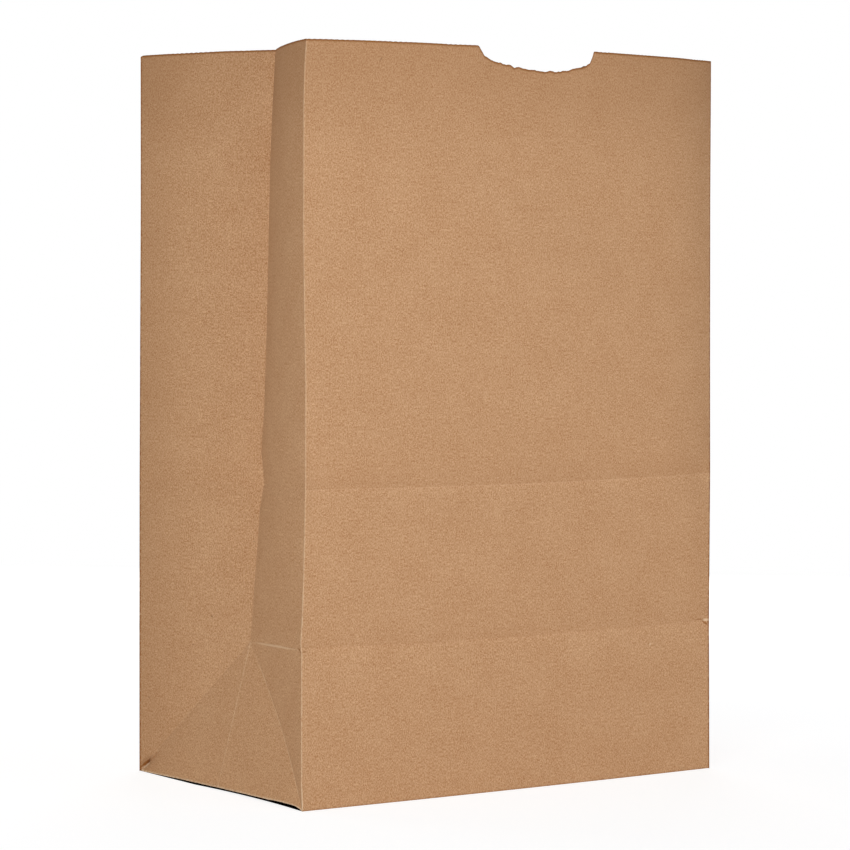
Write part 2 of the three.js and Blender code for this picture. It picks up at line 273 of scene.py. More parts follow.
def placeFace(name, s, t):
    # Front or back: a straight line between two folds, bellied out as a parabola, with the
    # valleys of the two level creases and slow ripples that fade out at the folds.
    wall = walls[name]
    fromStart, fromEnd = s - wall["start"], face - (s - wall["start"])
    u = fromStart / face
    pa, pb = (foldLine(fold, t) for fold in wall["folds"])
    fromFold = np.minimum(u, 1 - u) * face
    inside = smooth(0, shape["faceFade"], fromFold)
    push = bellyAt(t) * 4 * u * (1 - u)
    push += shape["endTurn"] * smooth(*shape["endHeights"], t) * turnedEnd(fromEnd)
    push += softRelief(t) * inside
    push -= shape["levelDent"] * valley(t - halfGusset, *shape["levelReach"]) * inside
    reach, half = shape["nickReach"]
    push -= shape["nick"] * valley(t - halfGusset, half, half) * valley(
        fromEnd - shape["nickAt"], shape["nickAt"], reach)
    fade = shape["rippleFade"]
    push += ripple(s, t, wall["seed"]) * smooth(0, fade["fold"], fromFold) * smooth(0, fade["base"], t)
    point = pa * (1 - u)[..., None] + pb * u[..., None] + sideways(pa, pb) * push[..., None]
    # Both creases run a little lower between the folds: a bell in height, half a sine across.
    soft = np.exp(-(((t - shape["softFold"]) / shape["softSagReach"]) ** 2)) * np.sin(np.pi * u)
    level = np.exp(-(((t - halfGusset) / shape["levelSagReach"]) ** 2)) * np.sin(np.pi * u ** 0.6)
    sag = shape["softSag"] * soft + shape["levelSag"] * level
    point[..., 2] -= sag * smooth(0, shape["sagFromBase"], t)
    return point


def slantAt(t, bend):
    # Distance of a slanting crease from its upright fold, at height t on the paper.
    return t - bend * np.sin(np.pi * np.clip(t / halfGusset, 0, 1))


def slantHeight(fromFold, bend):
    # The same crease the other way round: its height at a distance from the fold, found by
    # putting each answer back into t = distance + bend * sin(pi * t / halfGusset).
    t = fromFold
    for _ in range(40):
        t = fromFold + bend * np.sin(np.pi * np.clip(t / halfGusset, 0, 1))
    return t


def tuckedIn(fromFold, t):
    # Depth of the tuck at the back left corner: full on its line, straight down to 0 below it.
    below = np.interp(fromFold, *np.transpose(shape["tuckLine"])) - t
    depth = shape["tuck"] * np.where(below > 0, np.clip(1 - below / shape["tuckReach"], 0, 1), 0)
    return depth * smooth(*shape["tuckStart"], fromFold) * (1 - smooth(*shape["tuckEnd"], fromFold))


def placeGusset(name, s, t):
    # A side. Above the apex each half is a straight line from its fold to the middle crease,
    # slightly bellied. Below it the middle is a triangle that leans on the base edge, and each
    # corner is ruled level between the upright fold and the slanting crease.
    wall = walls[name]
    a, b = wall["folds"]
    along = (s - wall["start"]) / gusset
    first = along <= 0.5
    fromFold = np.where(first, along, 1 - along) * gusset
    share = fromFold / halfGusset
    near = np.where(first[..., None], foldLine(a, t), foldLine(b, t))
    middle = foldLine(wall["crease"], np.maximum(t, halfGusset))
    out = np.where(first[..., None], sideways(near, middle), sideways(middle, near))
    above = smooth(halfGusset, halfGusset + shape["gussetBowReach"], t)
    push = np.where(first, shape["gussetBow"][a], shape["gussetBow"][b]) * 4 * share * (1 - share) * above
    push += softRelief(t) * smooth(0, shape["gussetFade"], fromFold)
    reach = shape["rippleFade"]["gusset"]
    fade = smooth(0, reach, fromFold) * smooth(0, reach, halfGusset - fromFold)
    push += ripple(s, t, wall["seed"]) * fade * above
    upper = near + (middle - near) * share[..., None] + out * push[..., None]

    ground = np.zeros_like(t)
    baseA, baseB = foldLine(a, ground), foldLine(b, ground)
    apex = foldLine(wall["crease"], ground + halfGusset)
    bend = np.where(first, slantBend[a], slantBend[b])
    slant = np.maximum(slantAt(t, bend), tiny)
    lifts = np.array(baseLift[name])
    lift = np.interp(along, lifts[:, 0], lifts[:, 1]) * mm

    def leaning(where, up):
        # The triangle: base edge, straight towards the apex.
        base = baseA + (baseB - baseA) * where[..., None]
        return base + (apex - (baseA + baseB) / 2) * (up / halfGusset)[..., None]

    triangle = leaning(along, t)
    triangle[..., 2] += lift * np.clip(1 - t / np.maximum(slantHeight(fromFold, bend), tiny), 0, 1)
    onSlant = leaning(np.where(first, slant, gusset - slant) / gusset, t)
    corner = near + (onSlant - near) * np.clip(fromFold / slant, 0, 1)[..., None]
    lower = np.where((fromFold >= slant)[..., None], triangle, corner)
    if name == "left":
        lower -= sideways(baseA, baseB) * (tuckedIn(fromFold, t) * first)[..., None]
    return np.where((t >= halfGusset)[..., None], upper, lower)


def placePaper(s, t):
    # Where the middle of the paper lies, for any place on the tube of the bag.
    point = np.zeros(s.shape + (3,))
    for name, wall in walls.items():
        here = (s >= wall["start"]) & (s <= wall["end"])
        put = placeGusset if "crease" in wall else placeFace
        point[here] = put(name, s[here], t[here])
    return point


def thumbCut(s):
    # Depth of the thumb cut below the top edge, joined by straight lines.
    cut = np.array(rim["thumbCut"])
    return np.interp((s - face / 2) / mm, cut[:, 0], cut[:, 1]) * mm


def topEdge(s):
    # Height of the cut edge: slow wander, blunted teeth from the knife, and the torn thumb cut.
    x = s / mm
    depth = thumbCut(s)
    torn = smooth(*rim["tornFrom"], depth / mm)
    tooth = 2 * np.abs(np.mod(x / rim["toothPitch"], 1) - 0.5)
    least = rim["leastTooth"]
    blunt = least + (1 - least) * np.clip(wander(x, rim["toothStep"], 21), 0, 1)
    knife = rim["wander"] * wander(x, rim["wanderStep"], 22) - rim["toothDepth"] * tooth * blunt
    coarse, fine = (wander(x, step, seed) for step, seed in zip(rim["tearSteps"], (23, 24)))
    ragged = rim["tear"] * (coarse + fine)
    level = np.interp(x, *np.transpose(rim["level"]))
    return height - depth + (level + knife * (1 - torn) + ragged * torn) * mm


def spread(length, step, beside):
    # Even places from 0 to length, with extra ones close to both ends.
    even = np.linspace(0, length, int(round(length / step)) + 1)
    beside = np.array(beside)
    return np.unique(np.round(np.concatenate([even, beside, length - beside]), 9))


def sheetColumns():
    # Columns of the mesh, once round the tube, with every fold and middle crease on a column.
    step, beside = sheet["columnStep"], sheet["besideFold"]
    wide, narrow = spread(face, step, beside), spread(halfGusset, step, beside)
    starts = [(0, wide), (face, narrow), (face + halfGusset, narrow), (face + gusset, wide),
              (2 * face + gusset, narrow), (2 * face + gusset + halfGusset, narrow)]
    columns = np.concatenate([start + places[:-1] for start, places in starts])
    return np.append(columns, girth)


def wallColumns(wall):
    # The columns of one wall, with those on its two folds.
    columns = sheetColumns()
    return columns[(columns >= wall["start"] - tiny) & (columns <= wall["end"] + tiny)]


def quads(s, t):
    # The cells of a grid of sheet places, as an array of cells x 4 corners x (s, t).
    grid = np.stack([s, t], -1)
    return np.stack([grid[:-1, :-1], grid[:-1, 1:], grid[1:, 1:], grid[1:, :-1]], 2).reshape(-1, 4, 2)


def gussetCells(wall, shares):
    # The lower part of a side: rows from the base to the slanting creases, and on to the apex.
    columns = wallColumns(wall)
    a, b = wall["folds"]
    fromFold = np.minimum(columns - wall["start"], wall["end"] - columns)
    bend = np.where(columns - wall["start"] <= halfGusset + tiny, slantBend[a], slantBend[b])
    crease = slantHeight(np.clip(fromFold, 0, None), bend)
    s = np.repeat(columns[None], len(shares), 0)
    return [quads(s, crease[None] * shares[:, None]),
            quads(s, crease[None] + (halfGusset - crease)[None] * shares[:, None])]


def rimFans(columns, fine):
    # Five triangles join each wide cell to the four fine ones above it.
    parts, count = sheet["rimParts"], len(columns) - 1
    levels = height - sheet["rimStart"], height - sheet["rimRows"][-1]
    below = [np.stack([columns[k:count + k], np.full(count, levels[0])], -1) for k in (0, 1)]
    above = [np.stack([fine[k::parts][:count], np.full(count, levels[1])], -1) for k in range(parts)]
    above.append(np.stack([fine[parts::parts], np.full(count, levels[1])], -1))
    fans = [(below[0], above[1], above[0]), (below[0], above[2], above[1]),
            (below[0], below[1], above[2]), (below[1], above[3], above[2]),
            (below[1], above[4], above[3])]
    return np.concatenate([np.stack(fan, 1) for fan in fans])


def wallCells():
    # All cells of the tube, by nominal place: those with four corners, and the rim's triangles.
    columns = sheetColumns()
    step, beside = sheet["rowStep"], sheet["besideCrease"]
    shares = spread(halfGusset, step, beside) / halfGusset
    cells = []
    for name in ("front", "back"):
        cells.append(quads(*np.meshgrid(wallColumns(walls[name]), shares * halfGusset)))
    for name in ("right", "left"):
        cells += gussetCells(walls[name], shares)
    middle = halfGusset + spread(shape["softFold"] - halfGusset, step, beside)
    length = height - sheet["rimStart"] - shape["softFold"]
    upper = shape["softFold"] + spread(length, sheet["upperRowStep"], beside)
    upper = np.delete(upper, [-2, -3, -4])  # plain rows under the rim
    cells.append(quads(*np.meshgrid(columns, np.concatenate([middle, upper[1:]]))))

    shift = np.arange(sheet["rimParts"]) / sheet["rimParts"]
    fine = np.append((columns[:-1, None] + np.diff(columns)[:, None] * shift).ravel(), girth)
    cells.append(quads(*np.meshgrid(fine, height - np.array(sheet["rimRows"])[::-1])))
    return np.concatenate(cells), rimFans(columns, fine)


def settle(s, t):
    # The rows under the rim follow the cut edge: the true height of a nominal place.
    top = height - sheet["rimStart"]
    follow = smooth(height - sheet["rimReach"], top, np.minimum(t, top))
    wide = np.minimum(t, top) - thumbCut(s) * follow
    fine = topEdge(s) - (height - t)
    return np.where(t > top + tiny, fine, wide)


def flapCells(wall):
    # A bottom flap in sheet places, below t = 0. The flap of a face narrows at 45 degrees.
    down = -np.linspace(0, flap, sheet["flapRows"] + 1)
    down = np.unique(np.append(down, -np.array(sheet["besideBase"])))
    s, t = np.meshgrid(wallColumns(wall) - wall["start"], down)
    if "crease" not in wall:
        s = -t + s * (face + 2 * t) / face
    return quads(wall["start"] + s, t)


def boxPlace(wall, s, t):
    # Place of a bottom flap in the plain square base: s along its edge, t below 0 inwards.
    outX, outY = wall["out"]
    along = s - (wall["start"] + wall["end"]) / 2
    reach = (halfGusset if outX == 0 else face / 2) + t
    x, y = outX * reach - outY * along, outY * reach + outX * along
    return np.stack([x, y, np.full(s.shape, paper / 2)], -1)


def placeFlap(name, s, t):
    # Bottom flaps in layers: the back one outermost, the front one stepping up on to it, then
    # the sides' flaps. Each takes over the true line and lift of its base edge, fading inwards.
    point = boxPlace(walls[name], s, t)
    ground = np.zeros_like(t)
    edge = placePaper(s, ground) - boxPlace(walls[name], s, ground)
    step = sheet["flapStep"]
    if name == "front":
        point[..., 2] += paper * smooth(flap - sheet["lap"] - step["front"], flap - sheet["lap"], -t)
    elif name != "back":
        point[..., 2] += 2 * paper * smooth(0, step["side"], -t)
    return point + edge * (1 - smooth(0, sheet["flapFade"], -t))[..., None]


def cornerCells(start, sign):
    # A doubled corner triangle beside an upright fold, in sheet places. The order of the rows
    # and columns turns its outside up, because this paper is folded back.
    steps = np.linspace(0, 1, sheet["cornerSteps"])
    depth = flap * steps
    s = start + sign * depth[:, None] * steps[None]
    t = np.repeat(-depth[:, None], len(steps), 1)
    turned = (0,) if sign > 0 else (0, 1)
    return quads(np.flip(s, turned), np.flip(t, turned))


def placeCorner(fold, sign, s, t):
    # It lies on the face's flap, folded back under the side's flap.
    cornerX, cornerY = stance[fold]["corner"]
    depth, across = -t, sign * (s - foldPlace[fold])
    x = cornerX * (face / 2 - depth - sheet["cornerInset"])
    y = cornerY * (halfGusset - across - sheet["cornerInset"])
    return np.stack([x, y, np.full(s.shape, 1.5 * paper)], -1)


def keyed(corners, layer):
    # Welding key of each corner: place round the tube, nominal height, layer below the base.
    s, t = corners[..., 0], corners[..., 1]
    return np.stack([np.where(np.abs(s - girth) < 1e-7, 0, s), t, np.where(t < -tiny, layer, 0)], -1)


def layWalls():
    # Each lay function gives (welding key, place, sheet place) of the corners of its cells.
    for corners in wallCells():
        s, t = corners[..., 0], settle(corners[..., 0], corners[..., 1])
        yield keyed(corners, 0), placePaper(s, t), np.stack([s, t], -1)


def layBottom():
    # The four flaps hang on the base edge. The doubled corners are welded to nothing.
    for layer, name in enumerate(walls, 1):
        corners = flapCells(walls[name])
        yield keyed(corners, layer), placeFlap(name, corners[..., 0], corners[..., 1]), corners
    for layer, (fold, sign) in enumerate([
            ("frontLeft", 1), ("frontRight", -1), ("backRight", 1), ("backLeft", -1)], 5):
        corners = cornerCells(foldPlace[fold], sign)
        key = keyed(corners, layer)
        key[..., 2] = layer
        yield key, placeCorner(fold, sign, corners[..., 0], corners[..., 1]), corners


# The glued seam up the outside of the back, a second layer on the wall.
seam = {
    "fromFold": 44 * mm,
    "columns": [0, 0.6, 3, 8, 14, 20, 22.5, 24.4, 25.4],  # mm
    "lift": 1.05,  # papers off the wall
    "sink": 1.4,  # papers down into it at the far side
    "sinkFrom": 0.8,  # share of the width where that starts
    "underRim": 0.2 * mm,
}


def laySeam():
    # The wall's own surface, pushed out by the seam's lift.
    start = foldPlace["backRight"] + seam["fromFold"]
    columns = start + np.array(seam["columns"]) * mm
    step, beside = sheet["rowStep"], sheet["besideCrease"]
    rows = np.unique(np.concatenate([
        spread(halfGusset, step, beside[:1]), halfGusset + spread(halfGusset, step, beside),
        shape["softFold"] + spread(height - shape["softFold"], sheet["upperRowStep"], beside)]))
    rows = np.append(rows[rows < height - 1 * mm], height)
    corners = quads(*np.meshgrid(columns, rows))
    s = corners[..., 0]
    t = np.minimum(corners[..., 1], topEdge(s) - seam["underRim"])
    sink = smooth(seam["sinkFrom"], 1.0, (s - start) / sheet["lap"])
    lift = paper * (seam["lift"] - seam["sink"] * sink)
    out = sideways(foldLine("backRight", t), foldLine("backLeft", t))
    key = np.stack([s, corners[..., 1], np.full(s.shape, 20)], -1)
    yield key, placePaper(s, t) + out * lift[..., None], np.stack([s, t], -1)


def weld(cells):
    # Corners with the same key become one vertex. Returns the vertices, the vertex of each
    # corner, each corner's place on the sheet, and the corner that each vertex was taken from.
    keys, places, maps = (np.concatenate([cell[k].reshape(-1, cell[k].shape[-1]) for cell in cells])
                          for k in range(3))
    whole = np.round(keys * 1e7).astype(np.int64)
    _, first, index = np.unique(whole, axis=0, return_index=True, return_inverse=True)
    return places[first], index.ravel(), maps, first


def buildMesh(name, spots, index, counts, maps):
    # Faces from the welded corners. A corner that repeats the one before it is dropped, so a
    # cell whose side closed up becomes a triangle.
    starts = np.concatenate([[0], np.cumsum(counts)[:-1]])
    cell = np.repeat(np.arange(len(counts)), counts)
    last = starts[cell] + (np.arange(len(index)) - starts[cell] - 1) % counts[cell]
    keep = index != index[last]
    left = np.bincount(cell[keep], minlength=len(counts))
    keep &= (left >= 3)[cell]
    left = left[left >= 3]
    mesh = bpy.data.meshes.new(name)
    mesh.vertices.add(len(spots))
    mesh.vertices.foreach_set("co", spots.astype(np.float32).ravel())
    mesh.loops.add(int(keep.sum()))
    mesh.loops.foreach_set("vertex_index", index[keep].astype(np.int32))
    mesh.polygons.add(len(left))
    mesh.polygons.foreach_set("loop_start", np.concatenate([[0], np.cumsum(left)[:-1]]).astype(np.int32))
    layer = mesh.uv_layers.new(name="sheet")
    layer.uv.foreach_set("vector", maps[keep].astype(np.float32).ravel())
    mesh.update(calc_edges=True)
    mesh.validate()
    mesh.shade_smooth()
    return mesh


print("folding the sheet")
cells = [*layWalls(), *layBottom(), *laySeam()]
counts = np.concatenate([np.full(key.shape[0], key.shape[1]) for key, _, _ in cells])
spots, index, maps, first = weld(cells)
bagMesh = buildMesh("paperBag", spots, index, counts, maps)
bag = bpy.data.objects.new("paperBag", bagMesh)
bpy.context.scene.collection.objects.link(bag)
print("the sheet has", len(bagMesh.vertices), "vertices and", len(bagMesh.polygons), "faces")

# Marks along folds and creases: a light line where they are over 0, worn, except on the sides'
# base edge, where it is a painted highlight; a dark line of painted shade where they are under 0.
# The shade keys give painted shade, darker where less light falls. Two heights or distances after
# a value are where it is full or starts, and where it is gone or full.
wearAndShade = {
    "far": 1.0,  # a distance at which no line shows, in metres
    # the two dark ones, on the folds at the outline, are painted shade
    "fold": {"frontLeft": 0.55, "frontRight": -1.6, "backRight": 0.2, "backLeft": -1.6},
    "foldLow": (0.25, 90 * mm, 190 * mm),  # a light fold is more worn low down
    "foldBase": (0.8, 0, 20 * mm),  # and most near the base
    "slantFront": 0.7,  # slanting crease on the left side's front half
    "slantRest": 0.12,  # the other three
    "slantWidth": 0.7,
    "slantStart": (0, 14 * mm),
    "slantEnd": (0.8, 70 * mm, 84 * mm),  # share lost near the apex
    "middleLow": 0.5,  # middle crease below the apex
    "middleMore": (0.3, 20 * mm, 50 * mm),
    "middleHigh": 0.06,
    "levelGusset": 0.1,
    # the dark level crease and base edge of the faces are painted shade
    "levelFace": -0.35,
    "softFace": 0.10,
    # the light base edge of the sides is a painted highlight
    "baseGusset": 1.5,
    "baseFace": -0.5,
    "baseWidth": 0.45,
    "shadeRim": 75 * mm,  # darker towards the mouth over this
    "shadeFold": (0.8, 48 * mm),  # and beside the back left fold
    "shadeUpper": (0.35, 200 * mm, 400 * mm),  # and high on the left side's front half
    "shadeFace": 0.42,  # everywhere on the faces
    # Painted shade just above a level crease and painted light just below it, as a valley lit from
    # above: height, how much darker above, over how many mm, how much lighter below, over how many mm.
    "shadeCreases": [(shape["softFold"], 0.5, 13, 0.42, 7), (halfGusset, 0.2, 14, 0.42, 14)],
}


def foldWearAndShade(s, t):
    # Mark of the nearest upright fold, a light worn one or a dark one of painted shade. A light one is more
    # worn towards the base.
    names = [*foldPlace, "frontLeft"]
    places = np.array([*foldPlace.values(), girth])
    marks = np.array([wearAndShade["fold"][name] for name in names])
    mark = marks[np.argmin(np.abs(s[:, None] - places[None]), 1)]
    for more, start, end in (wearAndShade["foldLow"], wearAndShade["foldBase"]):
        mark = np.where(mark > 0, mark + more * (1 - smooth(start, end, t)), mark)
    return mark


def creaseWearAndShade(s, t, part):
    # Distance to the nearest crease, and its mark: slanting, middle, level, soft fold or base edge. Dark
    # marks are painted shade; the light one on the sides' base edge is a painted highlight.
    far, inGusset, fromFold = wearAndShade["far"], part["inGusset"], part["fromFold"]
    early = part["fromStart"] < halfGusset
    bend = np.where(part["onLeft"], np.where(early, slantBend["backLeft"], slantBend["frontLeft"]),
                    np.where(early, slantBend["frontRight"], slantBend["backRight"]))
    low = inGusset & (t < halfGusset + tiny) & (t >= 0)
    slant = np.where(part["frontHalf"], wearAndShade["slantFront"], wearAndShade["slantRest"])
    lost, fadeStart, fadeEnd = wearAndShade["slantEnd"]
    more, start, end = wearAndShade["middleMore"]
    patches = wearAndShade["levelFace"] * smooth(-0.2, 0.7, wander(s / mm, 42, 31))
    creases = [
        (np.where(low, np.abs(fromFold - slantAt(t, bend)) * wearAndShade["slantWidth"], far),
         slant * smooth(*wearAndShade["slantStart"], t) * (1 - lost * smooth(fadeStart, fadeEnd, t))),
        (np.where(inGusset & (t >= 0), np.abs(halfGusset - fromFold), far),
         np.where(t < halfGusset, wearAndShade["middleLow"] + more * smooth(start, end, t), wearAndShade["middleHigh"])),
        (np.abs(t - halfGusset),
         np.where(part["frontHalf"], 0.0, np.where(inGusset, wearAndShade["levelGusset"], patches))),
        (np.abs(t - shape["softFold"]), np.where(inGusset, 0.0, wearAndShade["softFace"])),
        (wearAndShade["baseWidth"] * np.abs(t) + 0.05 * mm,
         np.where(inGusset, wearAndShade["baseGusset"], wearAndShade["baseFace"])),
    ]
    distances, marks = zip(*creases)
    nearest = np.argmin(np.stack(distances), 0)
    return np.choose(nearest, distances), np.choose(nearest, marks)


def paintedShading(t, part):
    # Painted shade, darker where less light falls: towards the mouth everywhere; on the left side's back
    # half less so near the middle crease.
    nearRim = 1 - smooth(0, wearAndShade["shadeRim"], height - t)
    beside, reach = wearAndShade["shadeFold"]
    upper, start, end = wearAndShade["shadeUpper"]
    back = nearRim * (1 - (part["fromFold"] / halfGusset) ** 2) + beside * (
        1 - smooth(0, reach, part["fromFold"]))
    rest = nearRim + upper * part["frontHalf"] * smooth(start, end, t)
    paintedShade = np.where(part["onLeft"] & ~part["frontHalf"], back, rest)
    # On the faces, painted shade just above each level crease and painted light just below it.
    for level, more, above, less, below in wearAndShade["shadeCreases"]:
        d = (t - level) / mm
        band = np.where(d > 0, more * np.exp(-np.abs(d) / above), -less * np.exp(-np.abs(d) / below))
        paintedShade += np.where(part["inGusset"], 0.0, band)
    return np.clip(paintedShade + wearAndShade["shadeFace"] * ~part["inGusset"], 0, None)


def partOf(s):
    # Which part of the tube a place is on, and how far round it is from the first fold of its
    # side and from the nearest fold.
    onLeft = s > foldPlace["backLeft"]
    inGusset = ((s > face) & (s < face + gusset)) | onLeft
    fromStart = s - np.where(onLeft, foldPlace["backLeft"], face)
    acrossFace = np.mod(s, face + gusset)
    fromFold = np.abs(np.where(inGusset, np.minimum(fromStart, gusset - fromStart),
                               np.minimum(acrossFace, face - acrossFace)))
    return {"onLeft": onLeft, "frontHalf": s > foldPlace["backLeft"] + halfGusset, "inGusset": inGusset,
            "fromStart": fromStart, "fromFold": fromFold}


def setWearAndShade(mesh, s, t):
    # The material draws its worn lines, its lines of painted shade and its painted shade from these; the
    # distances are in mm.
    part = partOf(s)
    fromCrease, creaseMark = creaseWearAndShade(s, t, part)
    fromRim = np.where(t > 0, topEdge(s) - t, wearAndShade["far"])
    for name, values in {
            "fromFold": part["fromFold"] / mm, "foldMark": foldWearAndShade(s, t), "fromCrease": fromCrease / mm,
            "creaseMark": creaseMark, "fromRim": fromRim / mm, "paintedShade": paintedShading(t, part)}.items():
        layer = mesh.attributes.new(name, "FLOAT", "POINT")
        layer.data.foreach_set("value", values.astype(np.float32))


setWearAndShade(bagMesh, *maps[first].T)

solidify = bag.modifiers.new("paper", "SOLIDIFY")
solidify.thickness = paper
solidify.offset = 0
solidify.use_even_offset = True
solidify.material_offset = 1
solidify.material_offset_rim = 2


def addNode(tree, kind, inputs=None, **settings):
    # A node with its settings; an input is a value, or a socket to join it to.
    node = tree.nodes.new(kind)
    for key, value in settings.items():
        setattr(node, key, value)
    for key, value in (inputs or {}).items():
        if isinstance(value, bpy.types.NodeSocket):
            tree.links.new(value, node.inputs[key])
        else:
            node.inputs[key].default_value = value
    return node


def calc(tree, operation, *values):
    # One step of arithmetic; values are numbers or sockets.
    return addNode(tree, "ShaderNodeMath", dict(enumerate(values)), operation=operation).outputs[0]


def vectorCalc(tree, operation, a, b):
    # The same with vectors.
    return addNode(tree, "ShaderNodeVectorMath", {0: a, 1: b}, operation=operation).outputs[0]


def ramp(tree, value, fromLow, fromHigh, toLow, toHigh, **settings):
    # The value's range mapped to another one, held at both ends.
    return addNode(tree, "ShaderNodeMapRange", {
        "Value": value, "From Min": fromLow, "From Max": fromHigh, "To Min": toLow, "To Max": toHigh},
        **settings).outputs[0]


def noise(tree, vector, scale, detail=2.0, roughness=0.5):
    # Cloudy noise around 0.5, with this many lumps to the metre.
    return addNode(tree, "ShaderNodeTexNoise", {
        "Vector": vector, "Scale": scale, "Detail": detail, "Roughness": roughness}).outputs["Fac"]


def blend(tree, factor, a, b):
    # Colour a turned into colour b by the factor.
    node = addNode(tree, "ShaderNodeMix", data_type="RGBA")
    for socket, value in zip((node.inputs[0], node.inputs[6], node.inputs[7]), (factor, a, b)):
        if isinstance(value, bpy.types.NodeSocket):
            tree.links.new(value, socket)
        else:
            socket.default_value = value
    return node.outputs[2]


def placeGroup(tree, group, inputs):
    # The outputs of a node group that is placed in a material with its own values.
    return addNode(tree, "ShaderNodeGroup", inputs, node_tree=group).outputs


def newGroup(name, inputs, outputs):
    # An empty node group with named sockets; returns the tree, its input and its output node.
    # An input is a vector where its value is None, and otherwise a number.
    tree = bpy.data.node_groups.new(name, "ShaderNodeTree")
    for label, value in inputs.items():
        kind = "NodeSocketVector" if value is None else "NodeSocketFloat"
        socket = tree.interface.new_socket(name=label, in_out="INPUT", socket_type=kind)
        if value is not None:
            socket.default_value = value
    for label in outputs:
        tree.interface.new_socket(name=label, in_out="OUTPUT", socket_type="NodeSocketFloat")
    return tree, tree.nodes.new("NodeGroupInput"), tree.nodes.new("NodeGroupOutput")


def makeFibreGroup():
    # Kraft pulp: clouds, clumps of fibre, single fibres and faint streaks along the web. Each
    # of them moves the tone away from 0.5 by its own weight.
    weights = {"Cloud": 0.5, "Mottle": 0.3, "Clump": 1.0, "Fibre": 0.5, "Streak": 0.3}
    tree, source, result = newGroup("kraftFibre", {"Sheet": None, **weights}, ["Tone", "Height"])
    at = source.outputs["Sheet"]
    # Most fibres lie along the web, so the fine grain is drawn out up the bag.
    along = vectorCalc(tree, "MULTIPLY", at, (1, 0.6, 1))
    grain = {
        "Cloud": noise(tree, at, 42, 3),
        "Mottle": noise(tree, at, 300, 2),
        "Clump": noise(tree, along, 1350, 1),
        "Fibre": noise(tree, along, 2700, 1),
        "Streak": noise(tree, vectorCalc(tree, "MULTIPLY", at, (1100, 90, 1)), 1, 1),
    }
    tone = 0.5
    for name, value in grain.items():
        tone = calc(tree, "MULTIPLY_ADD", calc(tree, "SUBTRACT", value, 0.5), source.outputs[name], tone)
    tree.links.new(tone, result.inputs["Tone"])
    tree.links.new(calc(tree, "MULTIPLY_ADD", grain["Fibre"], 0.4, grain["Clump"]), result.inputs["Height"])
    return tree


def makeSpeckGroup():
    # Specks of bark and light knots of fibre: small dots in a few random cells, their outline
    # warped by noise.
    tree, source, result = newGroup(
        "kraftSpecks", {"Sheet": None, "Scale": 120.0, "Size": 0.05, "Share": 0.2}, ["Mask"])
    at = source.outputs["Sheet"]
    warp = addNode(tree, "ShaderNodeTexNoise", {"Vector": at, "Scale": 900, "Detail": 1}).outputs["Color"]
    at = vectorCalc(tree, "ADD", at, vectorCalc(tree, "MULTIPLY", warp, (0.0012,) * 3))
    cell = addNode(tree, "ShaderNodeTexVoronoi", {"Vector": at, "Scale": source.outputs["Scale"]})
    pick = addNode(tree, "ShaderNodeSeparateColor", {0: cell.outputs["Color"]})
    chosen = calc(tree, "LESS_THAN", pick.outputs[0], source.outputs["Share"])
    size = calc(tree, "MULTIPLY", source.outputs["Size"], ramp(tree, pick.outputs[1], 0, 1, 0.4, 1.3))
    dot = ramp(tree, cell.outputs["Distance"], 0, size, 1, 0)
    tree.links.new(calc(tree, "MULTIPLY", chosen, dot), result.inputs["Mask"])
    return tree


def makeLineGroup():
    # A line, mostly worn where light and painted shade where dark: full on the crease, gone at its width,
    # broken up by noise.
    tree, source, result = newGroup(
        "wearAndShadeLine", {"Sheet": None, "Distance": 0.0, "Width": 0.6, "Strength": 1.0}, ["Mask"])
    at = source.outputs["Sheet"]
    patchy = ramp(tree, noise(tree, at, 330, 3), 0.36, 0.6, 0.25, 1)
    uneven = ramp(tree, noise(tree, at, 800, 1), 0.3, 0.7, 0.6, 1.3)
    width = calc(tree, "MULTIPLY", source.outputs["Width"], uneven)
    line = ramp(tree, source.outputs["Distance"], 0, width, 1, 0, interpolation_type="SMOOTHSTEP")
    mask = calc(tree, "MULTIPLY", calc(tree, "MULTIPLY", line, patchy), source.outputs["Strength"])
    tree.links.new(mask, result.inputs["Mask"])
    return tree


def makeMarkGroup():
    # One mark: an oval with a soft, uneven outline, turned in the plane of the sheet.
    tree, source, result = newGroup(
        "kraftMark", {"Sheet": None, "Place": None, "Turn": 0.0, "Size": None}, ["Mask"])
    away = vectorCalc(tree, "SUBTRACT", source.outputs["Sheet"], source.outputs["Place"])
    level = addNode(tree, "ShaderNodeVectorRotate", {
        "Vector": away, "Angle": source.outputs["Turn"]}, rotation_type="Z_AXIS").outputs[0]
    scaled = vectorCalc(tree, "DIVIDE", level, source.outputs["Size"])
    reach = addNode(tree, "ShaderNodeVectorMath", {0: scaled}, operation="LENGTH").outputs["Value"]
    uneven = calc(tree, "MULTIPLY_ADD", noise(tree, source.outputs["Sheet"], 1500, 1), 0.7, calc(
        tree, "SUBTRACT", reach, 0.35))
    tree.links.new(ramp(tree, uneven, 0.45, 1, 1, 0), result.inputs["Mask"])
    return tree


fibreGroup, speckGroup, lineGroup, markGroup = (
    makeFibreGroup(), makeSpeckGroup(), makeLineGroup(), makeMarkGroup())

